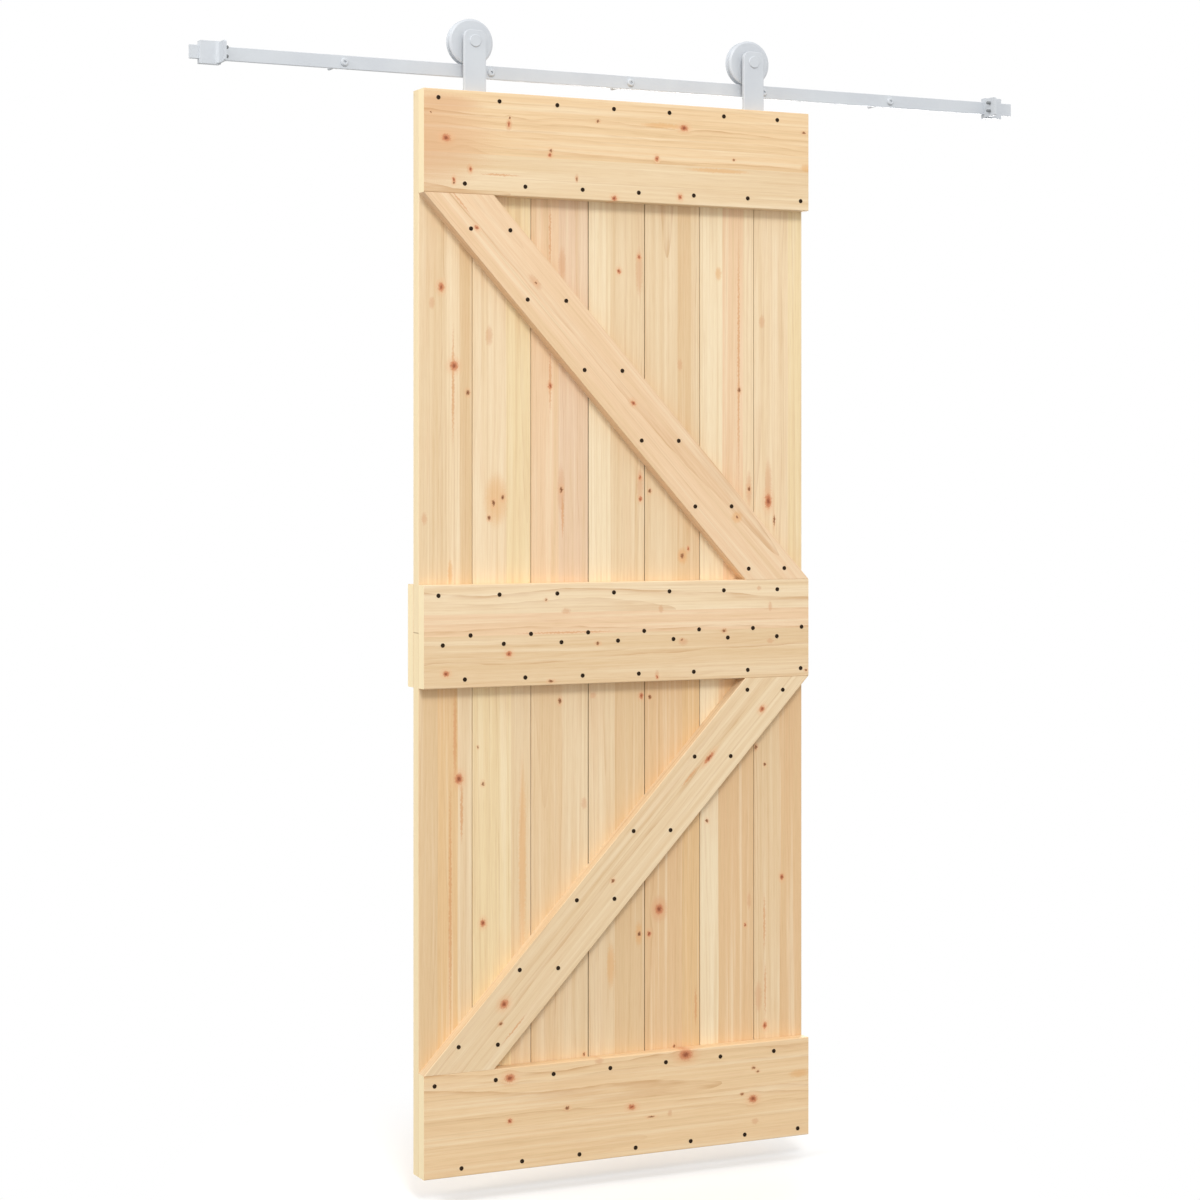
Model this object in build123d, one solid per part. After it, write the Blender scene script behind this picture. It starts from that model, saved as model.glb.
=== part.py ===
"""A sliding plank door hung from a flat steel track.

The door has tongue-and-groove boards in an upper and a lower row, three rails and two braces
screwed to the front in a K, and one rail across the middle of the back. Two steel hangers stand
on its top edge and carry grooved wheels that roll on a flat track. The track stands off the wall
on five spacers, and a stop with two rubber bumpers is clamped near each of its ends.

Millimetres. The origin is on the wall, behind the middle of the track. X runs along the track to
the right, Y runs into the wall and Z runs up, so the front of the door faces -Y.
"""
import math
import os

from build123d import *

# Track, spacers and wall bolts
TRACK_LENGTH = 1830.0
TRACK_HEIGHT = 26.0
TRACK_THICKNESS = 8.0
TRACK_EDGE_RADIUS = 1.0
BOLT_COUNT = 5
BOLT_SPACING = 305.0
BOLT_DIAMETER = 8.0
BOLT_THREAD_DIAMETER = 7.2
BOLT_HOLE_CLEARANCE = 0.4
BOLT_HEAD_DIAMETER = 15.0
BOLT_HEAD_HEIGHT = 4.8
BOLT_HEAD_BEVEL = 1.6
BOLT_KEY_WIDTH = 5.0
BOLT_KEY_DEPTH = 2.6
BOLT_LENGTH_IN_WALL = 45.0
BOLT_POINT_LENGTH = 10.0
BOLT_POINT_DIAMETER = 1.5
SPACER_LENGTH = 38.0
SPACER_DIAMETER = 14.0

# Stops and their bumpers
LEFT_STOP_END_DISTANCE = 18.0
RIGHT_STOP_END_DISTANCE = 27.0
STOP_PLATE_WIDTH = 36.0
STOP_HEIGHT = 43.0
STOP_PLATE_THICKNESS = 4.0
STOP_FLANGE_THICKNESS = 5.0
STOP_FLANGE_HEIGHT = 39.0
STOP_FLANGE_REACH = 35.0
STOP_BEND_RADIUS = 7.0
STOP_EDGE_BEVEL = 0.8
STOP_CORNER_RADIUS = 4.0
BUMPER_DIAMETER = 6.5
BUMPER_LENGTH = 9.0
BUMPER_BEVEL = 1.6
BUMPER_SPACING = 17.0

# Door leaf
DOOR_WIDTH = 850.0
DOOR_HEIGHT = 2100.0
DOOR_REST_OFFSET = -40.0
WALL_CLEARANCE = 9.0
TRACK_TO_DOOR_GAP = 32.5
BOARD_PITCH = 125.0
BOARD_SEAM = 0.8
BOARD_THICKNESS = 28.0
BOARD_BEVEL = 1.2
BOARD_END_GAP = 1.0
TONGUE_LENGTH = 7.0
TONGUE_THICKNESS = 8.0
GROOVE_CLEARANCE = 0.6
RAIL_HEIGHT = 200.0
RAIL_THICKNESS = 28.0
RAIL_EDGE_BEVEL = 1.2
MIDDLE_RAIL_BOTTOM = 943.5
BRACE_FOOT_WIDTH = 147.0
BRACE_EDGE_BEVEL = 1.0

# Hangers, axles and wheels
HANGER_WIDTH = 46.0
HANGER_THICKNESS = 8.0
HANGER_EDGE_DISTANCE = 116.0
HANGER_WELD_RADIUS = 4.0
HANGER_TOP_ABOVE_AXLE = 21.5
HANGER_TOP_RADIUS = 13.0
HANGER_FRONT_SETBACK = 21.0
HANGER_FOOT_LENGTH = 35.0
HANGER_FOOT_THICKNESS = 5.0
HANGER_EDGE_BEVEL = 1.2
FOOT_SCREW_DIAMETER = 6.0
FOOT_SCREW_SPACING = 24.0
WHEEL_DIAMETER = 92.0
WHEEL_THICKNESS = 20.0
TREAD_DIAMETER = 85.0
GROOVE_SIDE_CLEARANCE = 1.0
FLANGE_SLOPE = 1.0
WHEEL_BEVEL_WIDTH = 4.0
WHEEL_BEVEL_DEPTH = 2.0
AXLE_DIAMETER = 12.0
AXLE_CLEARANCE = 0.3
AXLE_HEAD_DIAMETER = 24.0
AXLE_HEAD_HEIGHT = 2.5
AXLE_HEAD_BEVEL = 1.0
AXLE_THREAD_PAST_NUT = 2.0
SLEEVE_DIAMETER = 20.0
NUT_WIDTH = 19.0
NUT_HEIGHT = 8.0
RUNNING_GAP = 0.3

# How far a cutting tool reaches past the face that it cuts
OVERRUN = 1.0

# Heights
track_top = TRACK_HEIGHT / 2
door_top = -TRACK_HEIGHT / 2 - TRACK_TO_DOOR_GAP
door_bottom = door_top - DOOR_HEIGHT
board_joint = door_bottom + DOOR_HEIGHT / 2
middle_rail_bottom = door_bottom + MIDDLE_RAIL_BOTTOM
axle_height = track_top + RUNNING_GAP + TREAD_DIAMETER / 2

# Depths, with the wall at zero and the room at negative Y
track_back = -SPACER_LENGTH
track_front = track_back - TRACK_THICKNESS
track_middle = (track_back + track_front) / 2
boards_back = -WALL_CLEARANCE - RAIL_THICKNESS
boards_front = boards_back - BOARD_THICKNESS
door_front = boards_front - RAIL_THICKNESS
hanger_front = door_front + HANGER_FRONT_SETBACK
hanger_back = hanger_front + HANGER_THICKNESS
wheel_front = track_middle - WHEEL_THICKNESS / 2
wheel_back = track_middle + WHEEL_THICKNESS / 2
flange_front = track_front - STOP_PLATE_THICKNESS - STOP_FLANGE_REACH

# Places along the track
stop_outer = {
    "left": TRACK_LENGTH / 2 - LEFT_STOP_END_DISTANCE,
    "right": TRACK_LENGTH / 2 - RIGHT_STOP_END_DISTANCE,
}
door_left = DOOR_REST_OFFSET - DOOR_WIDTH / 2
door_right = door_left + DOOR_WIDTH
hanger_places = {
    "left": door_left + HANGER_EDGE_DISTANCE,
    "right": door_right - HANGER_EDGE_DISTANCE,
}
board_count = math.ceil(DOOR_WIDTH / BOARD_PITCH)
bolt_places = [BOLT_SPACING * (i - (BOLT_COUNT - 1) / 2) for i in range(BOLT_COUNT)]
bolt_hole = BOLT_DIAMETER + BOLT_HOLE_CLEARANCE
axle_hole = AXLE_DIAMETER + AXLE_CLEARANCE


def block(x0, x1, y0, y1, z0, z1):
    """A box between two corners."""
    centre = ((x0 + x1) / 2, (y0 + y1) / 2, (z0 + z1) / 2)
    return Pos(*centre) * Box(abs(x1 - x0), abs(y1 - y0), abs(z1 - z0))


def rod(x, z, diameter, y0, y1):
    """A cylinder along Y between two depths."""
    turn = Pos(x, (y0 + y1) / 2, z) * Rot(X=90)
    return turn * Cylinder(diameter / 2, abs(y1 - y0))


def turned(profile, x, z):
    """A turned piece on an axis along Y, from points of radius and depth."""
    outline = Polyline(*[(r, y) for r, y in profile], close=True)
    piece = revolve(make_face(outline), Axis.Y)
    return Pos(x, 0, z) * piece


def track_rail():
    half = TRACK_LENGTH / 2
    bar = block(-half, half, track_front, track_back, -TRACK_HEIGHT / 2, track_top)
    bar = fillet(bar.edges().filter_by(Axis.X), TRACK_EDGE_RADIUS)
    for x in bolt_places:
        bar -= rod(x, 0, bolt_hole, track_front - OVERRUN, track_back + OVERRUN)
    return bar


def spacer(x):
    outer = rod(x, 0, SPACER_DIAMETER, track_back, 0)
    return outer - rod(x, 0, bolt_hole, track_back - OVERRUN, OVERRUN)


def wall_bolt(x):
    """A bevelled round head with a hexagon socket, a plain shank and a pointed thread in the wall."""
    head_top = track_front - BOLT_HEAD_HEIGHT
    half_head = BOLT_HEAD_DIAMETER / 2
    half_shank = BOLT_DIAMETER / 2
    half_thread = BOLT_THREAD_DIAMETER / 2
    tip = BOLT_LENGTH_IN_WALL
    profile = [
        (0, head_top),
        (half_head - BOLT_HEAD_BEVEL, head_top),
        (half_head, head_top + BOLT_HEAD_BEVEL),
        (half_head, track_front),
        (half_shank, track_front),
        (half_shank, 0),
        (half_thread, 0),
        (half_thread, tip - BOLT_POINT_LENGTH),
        (BOLT_POINT_DIAMETER / 2, tip),
        (0, tip),
    ]
    hexagon = RegularPolygon(BOLT_KEY_WIDTH / 2, 6, major_radius=False)
    key = extrude(hexagon, BOLT_KEY_DEPTH + OVERRUN)
    return turned(profile, x, 0) - Pos(x, head_top + BOLT_KEY_DEPTH, 0) * Rot(X=90) * key


def stop(side):
    """A clamp round the track, bent forward into a flange that reaches into the hanger's path.

    It is drawn at the left end, and the right one is its mirror image.
    """
    outer = -stop_outer[side]
    inner = outer + STOP_PLATE_WIDTH
    inner_face = inner + STOP_FLANGE_THICKNESS
    half = STOP_HEIGHT / 2
    half_flange = STOP_FLANGE_HEIGHT / 2
    half_track = TRACK_HEIGHT / 2
    plate_front = track_front - STOP_PLATE_THICKNESS
    plate_back = track_back + STOP_PLATE_THICKNESS
    clamp = block(outer, inner_face, plate_front, plate_back, -half, half)
    clamp = chamfer(clamp.faces().sort_by(Axis.X)[0].edges(), STOP_EDGE_BEVEL)
    flange = block(inner, inner_face, flange_front, plate_front + OVERRUN, -half_flange, half_flange)
    flange = fillet(flange.edges().filter_by(Axis.X).group_by(Axis.Y)[0], STOP_CORNER_RADIUS)
    body = clamp + flange
    bend = body.edges().filter_by(Axis.Z).sort_by_distance((inner, plate_front, 0))[0]
    body = fillet(bend, STOP_BEND_RADIUS)
    body -= block(outer - OVERRUN, inner_face + OVERRUN, track_front, track_back, -half_track, half_track)
    return body if side == "left" else mirror(body, Plane.YZ)


def stop_bumpers(side):
    """Two round rubber bumpers on the stop's inner face, one over the other."""
    start = -stop_outer[side] + STOP_PLATE_WIDTH + STOP_FLANGE_THICKNESS
    depth = (hanger_front + hanger_back) / 2
    pads = []
    for z in (-BUMPER_SPACING / 2, BUMPER_SPACING / 2):
        place = Pos(start + BUMPER_LENGTH / 2, depth, z) * Rot(Y=90)
        pad = place * Cylinder(BUMPER_DIAMETER / 2, BUMPER_LENGTH)
        tip = pad.edges().filter_by(GeomType.CIRCLE).group_by(Axis.X)[-1]
        pads.append(chamfer(tip, BUMPER_BEVEL))
    pair = Compound(children=pads)
    return pair if side == "left" else mirror(pair, Plane.YZ)


def board(index, z0, z1):
    """One board with a groove in its left edge and a tongue on its right edge.

    The two outer boards are sawn to the door's width, so the first has no groove and the last no tongue.
    """
    middle = door_left + DOOR_WIDTH / 2
    centre = middle + (index - (board_count - 1) / 2) * BOARD_PITCH
    first = index == 0
    last = index == board_count - 1
    left = door_left if first else centre - BOARD_PITCH / 2 + BOARD_SEAM / 2
    right = door_right if last else centre + BOARD_PITCH / 2 - BOARD_SEAM / 2
    plank = block(left, right, boards_front, boards_back, z0, z1)
    plank = chamfer(plank.edges().filter_by(Axis.Z), BOARD_BEVEL)
    core = (boards_front + boards_back) / 2
    if not last:
        half_tongue = TONGUE_THICKNESS / 2
        plank += block(
            right - OVERRUN, right + TONGUE_LENGTH, core - half_tongue, core + half_tongue, z0, z1
        )
    if not first:
        half_groove = (TONGUE_THICKNESS + GROOVE_CLEARANCE) / 2
        depth = left + TONGUE_LENGTH - BOARD_SEAM + GROOVE_CLEARANCE
        plank -= block(
            left - OVERRUN, depth, core - half_groove, core + half_groove, z0 - OVERRUN, z1 + OVERRUN
        )
    return plank


def cross_rail(y0, y1, z0):
    """A board across the whole width, with its long edges eased."""
    plank = block(door_left, door_right, y0, y1, z0, z0 + RAIL_HEIGHT)
    return chamfer(plank.edges().filter_by(Axis.X), RAIL_EDGE_BEVEL)


def brace(z0, z1, low_left, high_left):
    """A sloping board between two rails, cut level at both ends, with its long front edges eased."""
    outline = Polyline(
        (low_left, z0),
        (low_left + BRACE_FOOT_WIDTH, z0),
        (high_left + BRACE_FOOT_WIDTH, z1),
        (high_left, z1),
        close=True,
    )
    face = Plane.XZ.offset(-boards_front) * make_face(outline)
    plank = extrude(face, RAIL_THICKNESS)
    front = plank.faces().sort_by(Axis.Y)[0].edges()
    long_edges = front.sort_by(SortBy.LENGTH)[-2:]
    return chamfer(long_edges, BRACE_EDGE_BEVEL)


def hanger(x):
    """A strap with rounded top corners and a foot welded on behind it, flat on the door's top edge."""
    half = HANGER_WIDTH / 2
    foot_back = hanger_front + HANGER_FOOT_LENGTH
    foot_top = door_top + HANGER_FOOT_THICKNESS
    top = axle_height + HANGER_TOP_ABOVE_AXLE
    upright = block(x - half, x + half, hanger_front, hanger_back, door_top, top)
    upright = fillet(upright.edges().filter_by(Axis.Y).group_by(Axis.Z)[-1], HANGER_TOP_RADIUS)
    outline = upright.faces().sort_by(Axis.Y)[0].edges().sort_by(Axis.Z)
    upright = chamfer(outline[1:], HANGER_EDGE_BEVEL)
    foot = block(x - half, x + half, hanger_front + HANGER_EDGE_BEVEL, foot_back, door_top, foot_top)
    strap = upright + foot
    weld = strap.edges().filter_by(Axis.X).sort_by_distance((x, hanger_back, foot_top))[0]
    strap = fillet(weld, HANGER_WELD_RADIUS)
    strap -= rod(x, axle_height, axle_hole, hanger_front - OVERRUN, hanger_back + OVERRUN)
    screw_depth = (hanger_back + HANGER_WELD_RADIUS + foot_back) / 2
    for offset in (-FOOT_SCREW_SPACING / 2, FOOT_SCREW_SPACING / 2):
        drill = Pos(x + offset, screw_depth, door_top + HANGER_FOOT_THICKNESS / 2)
        strap -= drill * Cylinder(FOOT_SCREW_DIAMETER / 2, HANGER_FOOT_THICKNESS + 2 * OVERRUN)
    return strap


def axle(x):
    """A flat round head in front of the strap and a plain shank through the wheel."""
    head_front = hanger_front - AXLE_HEAD_HEIGHT
    end = wheel_back + RUNNING_GAP + NUT_HEIGHT + AXLE_THREAD_PAST_NUT
    half_head = AXLE_HEAD_DIAMETER / 2
    half_shank = AXLE_DIAMETER / 2
    profile = [
        (0, head_front),
        (half_head - AXLE_HEAD_BEVEL, head_front),
        (half_head, head_front + AXLE_HEAD_BEVEL),
        (half_head, hanger_front),
        (half_shank, hanger_front),
        (half_shank, end),
        (0, end),
    ]
    return turned(profile, x, axle_height)


def axle_sleeve(x):
    """The spacer that holds the wheel off the strap."""
    back = wheel_front - RUNNING_GAP
    outer = rod(x, axle_height, SLEEVE_DIAMETER, hanger_back, back)
    return outer - rod(x, axle_height, axle_hole, hanger_back - OVERRUN, back + OVERRUN)


def axle_nut(x):
    """The hexagon nut behind the wheel."""
    front = wheel_back + RUNNING_GAP
    hexagon = extrude(RegularPolygon(NUT_WIDTH / 2, 6, major_radius=False), NUT_HEIGHT)
    nut = Pos(x, front + NUT_HEIGHT, axle_height) * Rot(X=90) * hexagon
    return nut - rod(x, axle_height, axle_hole, front - OVERRUN, front + NUT_HEIGHT + OVERRUN)


def wheel(x):
    """A grooved wheel: flat bevelled faces, two flanges and the tread between them."""
    rim = WHEEL_DIAMETER / 2
    tread = TREAD_DIAMETER / 2
    half_groove = TRACK_THICKNESS / 2 + GROOVE_SIDE_CLEARANCE
    half_mouth = half_groove + FLANGE_SLOPE
    bore = axle_hole / 2
    profile = [
        (bore, wheel_front),
        (rim - WHEEL_BEVEL_WIDTH, wheel_front),
        (rim, wheel_front + WHEEL_BEVEL_DEPTH),
        (rim, track_middle - half_mouth),
        (tread, track_middle - half_groove),
        (tread, track_middle + half_groove),
        (rim, track_middle + half_mouth),
        (rim, wheel_back - WHEEL_BEVEL_DEPTH),
        (rim - WHEEL_BEVEL_WIDTH, wheel_back),
        (bore, wheel_back),
    ]
    return turned(profile, x, axle_height)


def make_nodes():
    nodes = {"track_rail": track_rail()}
    for number, x in enumerate(bolt_places, start=1):
        nodes[f"spacer_{number}"] = spacer(x)
        nodes[f"wall_bolt_{number}"] = wall_bolt(x)
    for side in ("left", "right"):
        nodes[f"{side}_stop"] = stop(side)
        nodes[f"{side}_stop_bumpers"] = stop_bumpers(side)
    half_gap = BOARD_END_GAP / 2
    for index in range(board_count):
        nodes[f"upper_board_{index + 1}"] = board(index, board_joint + half_gap, door_top)
        nodes[f"lower_board_{index + 1}"] = board(index, door_bottom, board_joint - half_gap)
    top_rail_bottom = door_top - RAIL_HEIGHT
    middle_rail_top = middle_rail_bottom + RAIL_HEIGHT
    bottom_rail_top = door_bottom + RAIL_HEIGHT
    nodes["top_rail"] = cross_rail(door_front, boards_front, top_rail_bottom)
    nodes["middle_rail"] = cross_rail(door_front, boards_front, middle_rail_bottom)
    nodes["bottom_rail"] = cross_rail(door_front, boards_front, door_bottom)
    nodes["back_rail"] = cross_rail(boards_back, -WALL_CLEARANCE, middle_rail_bottom)
    brace_right = door_right - BRACE_FOOT_WIDTH
    nodes["upper_brace"] = brace(middle_rail_top, top_rail_bottom, brace_right, door_left)
    nodes["lower_brace"] = brace(bottom_rail_top, middle_rail_bottom, door_left, brace_right)
    for side, x in hanger_places.items():
        nodes[f"{side}_hanger"] = hanger(x)
        nodes[f"{side}_axle"] = axle(x)
        nodes[f"{side}_axle_sleeve"] = axle_sleeve(x)
        nodes[f"{side}_axle_nut"] = axle_nut(x)
        nodes[f"{side}_wheel"] = wheel(x)
    return nodes


os.makedirs("parts", exist_ok=True)
for name, shape in make_nodes().items():
    export_step(shape, f"parts/{name}.step")
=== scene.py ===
# %% [markdown]
# # A sliding plank door on a flat track
#
# The door is a leaf of pine boards with three rails and two sloping braces on its front. Two steel
# hangers with grooved wheels carry it along a white track. The solids come ready-made at their real
# size, so this lesson only dresses them: light, camera, finishes, screws and threads. Everything is
# in metres, with the wall at Y = 0, the room at negative Y and Z upwards.

# %% Load the solids
import math
import random

import bmesh
import bpy
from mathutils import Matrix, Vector


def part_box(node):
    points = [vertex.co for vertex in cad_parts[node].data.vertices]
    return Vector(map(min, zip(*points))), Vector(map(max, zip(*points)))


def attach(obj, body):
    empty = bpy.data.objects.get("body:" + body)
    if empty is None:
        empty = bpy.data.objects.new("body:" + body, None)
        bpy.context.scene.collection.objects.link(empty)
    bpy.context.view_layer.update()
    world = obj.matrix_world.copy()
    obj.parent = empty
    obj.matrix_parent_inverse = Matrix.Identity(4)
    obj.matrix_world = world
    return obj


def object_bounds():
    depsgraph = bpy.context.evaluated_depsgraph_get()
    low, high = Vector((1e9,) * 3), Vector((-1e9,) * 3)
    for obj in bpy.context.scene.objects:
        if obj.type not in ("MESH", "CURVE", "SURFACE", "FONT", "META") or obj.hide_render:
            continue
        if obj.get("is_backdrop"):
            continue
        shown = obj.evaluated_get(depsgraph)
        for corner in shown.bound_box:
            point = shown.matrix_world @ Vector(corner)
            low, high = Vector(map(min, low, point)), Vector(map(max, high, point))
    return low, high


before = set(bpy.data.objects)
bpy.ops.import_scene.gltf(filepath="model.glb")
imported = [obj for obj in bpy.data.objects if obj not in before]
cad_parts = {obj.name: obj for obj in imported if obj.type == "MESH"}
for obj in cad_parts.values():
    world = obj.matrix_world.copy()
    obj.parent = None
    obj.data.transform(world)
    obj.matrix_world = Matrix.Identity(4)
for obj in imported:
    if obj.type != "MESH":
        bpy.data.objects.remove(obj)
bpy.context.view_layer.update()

bpy.ops.object.select_all(action="DESELECT")
MM = 0.001

# %% [markdown]
# ## The camera
#
# The picture was taken level, from the left of the door and at about half its height, with a long
# lens. A level camera keeps upright lines upright, and a shifted lens then brings the lower half of
# the door into the frame. The camera is placed from the door's own lower left front corner, so it
# follows the door if the solids change.

# %% Place the camera
CAMERA_FROM_CORNER = (-1.9010, -4.7696, 1.3381)
CAMERA_TURN = math.radians(-25.507)
CAMERA_LENS = 80.02
CAMERA_SHIFT = -0.0966
CAMERA_SENSOR = 36

door_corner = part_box("bottom_rail")[0]
bpy.ops.object.camera_add(
    location=door_corner + Vector(CAMERA_FROM_CORNER),
    rotation=(math.radians(90), 0, CAMERA_TURN),
)
camera = bpy.context.object
camera.data.lens = CAMERA_LENS
camera.data.sensor_width = CAMERA_SENSOR
camera.data.shift_y = CAMERA_SHIFT
bpy.context.scene.camera = camera
print("camera", [round(c, 3) for c in camera.location])

# %% [markdown]
# ## Wires between shader nodes
#
# A finish is a graph of small nodes. Written out link by link it is hard to read, so one small class
# wraps a node's output, and sums on it add the Math nodes. Every other node comes from its `node`
# method, which takes the node's type, its settings, and the values or wires of its inputs.

# %% A wire and its arithmetic
class Wire:
    """The output of a shader node. Arithmetic on wires adds Math nodes."""

    def __init__(self, tree, socket=None):
        self.tree = tree
        self.socket = socket

    def node(self, kind, settings=None, inputs=None, output=0):
        made = self.tree.nodes.new("ShaderNode" + kind)
        for key, value in (settings or {}).items():
            if key == "stops":
                fill_ramp(made.color_ramp, value)
            elif key == "steps":
                made.color_ramp.interpolation = value
            else:
                setattr(made, key, value)
        for key, value in (inputs or {}).items():
            if isinstance(value, Wire):
                self.tree.links.new(value.socket, made.inputs[key])
            else:
                made.inputs[key].default_value = value
        return Wire(self.tree, made.outputs[output])

    def math(self, operation, first, second=0.0):
        return self.node("Math", {"operation": operation}, {0: first, 1: second})

    def __add__(self, other):
        return self.math("ADD", self, other)

    def __radd__(self, other):
        return self.math("ADD", other, self)

    def __sub__(self, other):
        return self.math("SUBTRACT", self, other)

    def __rsub__(self, other):
        return self.math("SUBTRACT", other, self)

    def __mul__(self, other):
        return self.math("MULTIPLY", self, other)

    def __rmul__(self, other):
        return self.math("MULTIPLY", other, self)

    def __truediv__(self, other):
        return self.math("DIVIDE", self, other)

    def __rtruediv__(self, other):
        return self.math("DIVIDE", other, self)

    def __pow__(self, other):
        return self.math("POWER", self, other)

    def smooth(self, low, high):
        """0 below low, 1 above high, with a soft step between them; the other way round if low > high."""
        settings = {"interpolation_type": "SMOOTHSTEP"}
        if low < high:
            return self.node("MapRange", settings, {"Value": self, "From Min": low, "From Max": high})
        inputs = {"Value": self, "From Min": high, "From Max": low, "To Min": 1.0, "To Max": 0.0}
        return self.node("MapRange", settings, inputs)

    def blend(self, share, colour, how="MIX"):
        """This colour mixed with another one, by a share that may be a wire."""
        settings = {"data_type": "RGBA", "blend_type": how}
        return self.node("Mix", settings, {0: share, 6: self, 7: colour}, output=2)


def fill_ramp(ramp, stops):
    while len(ramp.elements) > len(stops):
        ramp.elements.remove(ramp.elements[-1])
    while len(ramp.elements) < len(stops):
        ramp.elements.new(1.0)
    for element, (position, colour) in zip(ramp.elements, stops):
        element.position = position
        element.color = colour


def paint(red, green, blue):
    """A colour as a paint chart gives it, 0 to 255, turned into the linear light that shaders use."""
    linear = []
    for value in (red / 255, green / 255, blue / 255):
        linear.append(value / 12.92 if value <= 0.04045 else ((value + 0.055) / 1.055) ** 2.4)
    return (*linear, 1.0)


def new_finish(name):
    """An empty material. It returns the material, a bare wire to start nodes from, and its shader."""
    finish = bpy.data.materials.new(name)
    finish.use_nodes = True
    tree = finish.node_tree
    return finish, Wire(tree), tree.nodes["Principled BSDF"]


def feed(shader, socket, wire):
    wire.tree.links.new(wire.socket, shader.inputs[socket])


print("wires ready, white reads", paint(255, 255, 255)[:3])

# %% [markdown]
# ## Floor, world and light
#
# The door hangs before plain white. The world is white to the camera and to reflections, and gives
# the door an even, plain light from all round. Lamps alone would do too, but then the edges of the
# rails throw a glow onto the boards. One soft lamp, high up in front, adds the faint shadow under
# the rails. A second one on the left brightens the edges that face that way. The last one stands
# behind, on the right, and lights only what the camera doesn't see, so that the back can be looked
# at too. The floor is white, and only near the door does it take the shadow. It sends little light
# back up, so that the undersides of the rails stay dark.

# %% The studio
FLOOR_BELOW_DOOR = 0.05
FLOOR_RADIUS = 9.0
FLOOR_SIDES = 96
FLOOR_ROUGHNESS = 0.9
DOOR_HALF_WIDTH = 0.425
SHADOW_RADIUS = 0.9
SHADOW_CORE = 0.4
WORLD_LEVEL = 0.8
FLOOR_WHITE = (0.9, 0.9, 0.9, 1.0)
FLOOR_BOUNCE = (0.35, 0.35, 0.35, 1.0)
LAMP_AIM = Vector((0.0, 0.0, -1.1))
LAMPS = {
    "front_lamp": (Vector((-3.3, -11.4, 7.4)), 4.0, 820.0),
    "side_lamp": (Vector((-8.4, -1.2, 4.6)), 4.0, 270.0),
    "back_lamp": (Vector((6.0, 9.0, -0.6)), 4.0, 600.0),
}


def straight_to_the_eye(start):
    """1 for rays that the camera sees directly, in a mirror or through glass."""
    kinds = ("Camera", "Glossy", "Transmission")
    rays = [start.node("LightPath", output=f"Is {kind} Ray") for kind in kinds]
    return start.math("MAXIMUM", rays[0], start.math("MAXIMUM", rays[1], rays[2]))


def white_world():
    world = bpy.data.worlds.new("studio_white")
    bpy.context.scene.world = world
    world.use_nodes = True
    start = Wire(world.node_tree)
    level = straight_to_the_eye(start) * (1.0 - WORLD_LEVEL) + WORLD_LEVEL
    backdrop = world.node_tree.nodes["Background"]
    backdrop.inputs["Color"].default_value = (1.0, 1.0, 1.0, 1.0)
    feed(backdrop, "Strength", level)


def white_floor():
    bpy.ops.object.select_all(action="DESELECT")
    height = door_corner.z - FLOOR_BELOW_DOOR
    bpy.ops.mesh.primitive_circle_add(
        vertices=FLOOR_SIDES, radius=FLOOR_RADIUS, fill_type="NGON", location=(0, 0, height)
    )
    floor = bpy.context.object
    floor.name = "floor"
    bpy.ops.object.transform_apply(location=True)
    finish, start, shader = new_finish("floor_white")
    seen = straight_to_the_eye(start)
    tone = start.node("Mix", {"data_type": "RGBA"}, {0: seen, 6: FLOOR_BOUNCE, 7: FLOOR_WHITE}, output=2)
    feed(shader, "Base Color", tone)
    shader.inputs["Roughness"].default_value = FLOOR_ROUGHNESS
    place = start.node("TexCoord", output="Object")
    spread = start.node(
        "Mapping",
        {"vector_type": "TEXTURE"},
        {"Vector": place, "Location": (door_corner.x + DOOR_HALF_WIDTH, 0.0, height)},
    )
    away = start.node("VectorMath", {"operation": "LENGTH"}, {0: spread}, output="Value")
    plain = away.smooth(SHADOW_CORE * SHADOW_RADIUS, SHADOW_RADIUS)
    white = start.node("Emission", None, {"Color": (1.0, 1.0, 1.0, 1.0)})
    share = plain * seen
    mixed = start.node("MixShader", None, {0: share, 1: Wire(start.tree, shader.outputs[0]), 2: white})
    start.tree.links.new(mixed.socket, start.tree.nodes["Material Output"].inputs["Surface"])
    floor.data.materials.append(finish)
    floor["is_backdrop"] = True


def soft_lamp(name, place, width, power):
    bpy.ops.object.light_add(type="AREA", location=place)
    lamp = bpy.context.object
    lamp.name = name
    lamp.data.shape = "DISK"
    lamp.data.size = width
    lamp.data.energy = power
    lamp.rotation_euler = (LAMP_AIM - place).to_track_quat("-Z", "Y").to_euler()


bpy.context.scene.view_settings.view_transform = "Standard"
white_world()
white_floor()
for lamp_name, (lamp_place, lamp_width, lamp_power) in LAMPS.items():
    soft_lamp(lamp_name, lamp_place, lamp_width, lamp_power)
print("studio: floor", FLOOR_BELOW_DOOR, "m below the door,", len(LAMPS), "lamps")

# %% [markdown]
# ## Pine
#
# Every board was sawn from a tree, so its pattern is solid: the same rings show on the face, the edge
# and the end. The finish therefore works in a space of its own for each board, in millimetres, with
# one axis along the grain, one across it and one into the wood. Rings are distances from a pith
# line beside the board. Wide boards are glued from a few staves, and each stave has its own tone
# and pith. Knots push the grain aside before the rings are drawn, which makes the lines flow round them.

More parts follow.
